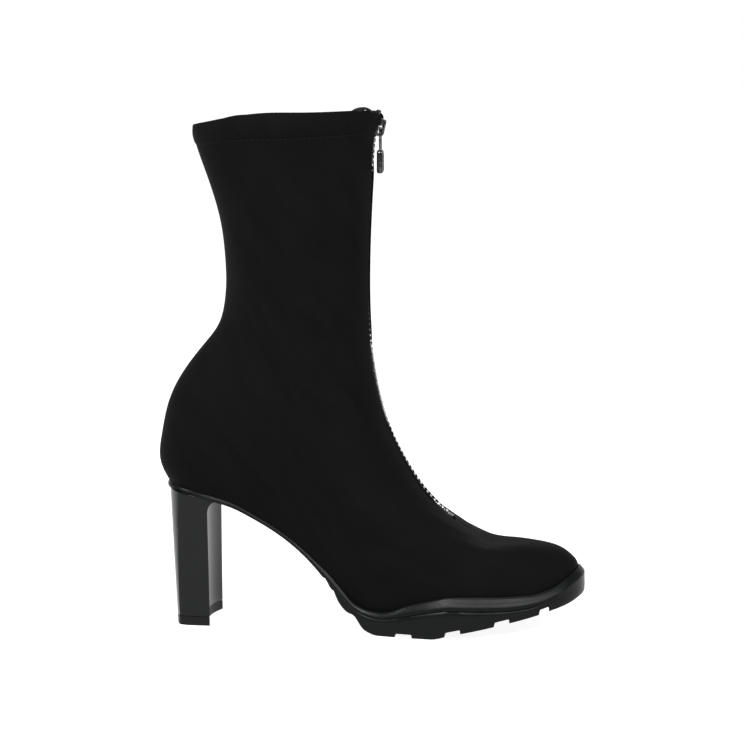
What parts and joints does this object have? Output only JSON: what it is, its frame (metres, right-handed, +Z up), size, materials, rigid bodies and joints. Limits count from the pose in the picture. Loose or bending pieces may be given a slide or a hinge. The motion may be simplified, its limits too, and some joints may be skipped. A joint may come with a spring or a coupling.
{
  "type": "ankle boot",
  "caption": "Heeled ankle boot for the right foot with a stretch upper, a zip down the front, a lugged rubber cup sole and a slim block heel.",
  "frame": {"origin": "on the floor under the middle of the boot's overall box", "axes": "+X towards the toe, +Y towards the inner side of the right foot, +Z up"},
  "size_m": [0.251, 0.0921, 0.3011],
  "materials": {
    "stretch_fabric": "matt black stretch jersey",
    "tread_rubber": "satin black",
    "insole_cloth": "matt black",
    "heel_lacquer": "glossy black",
    "lift_rubber": "matt black",
    "zip_tape": "woven black",
    "silver_metal": "polished silver",
    "dark_metal": "polished dark nickel"
  },
  "bodies": {
    "boot": {"upper": "stretch_fabric", "outsole": "tread_rubber", "insole": "insole_cloth", "heel": "heel_lacquer", "top_lift": "lift_rubber", "zip_tape_outer": "zip_tape", "zip_tape_inner": "zip_tape", "zip_teeth": "silver_metal", "zip_bottom_stop": "dark_metal", "zip_top_stop_outer": "silver_metal", "zip_top_stop_inner": "silver_metal", "zip_slider": "dark_metal"},
    "pull": {"zip_pull": "dark_metal"}
  },
  "joints": [
    {"name": "pull_swing", "type": "hinge", "parent": "boot", "child": "pull", "pos_m": [0.00531, 0, 0.29077], "axis": [0, -1, 0], "range_deg": [-7, 165]}
  ]
}
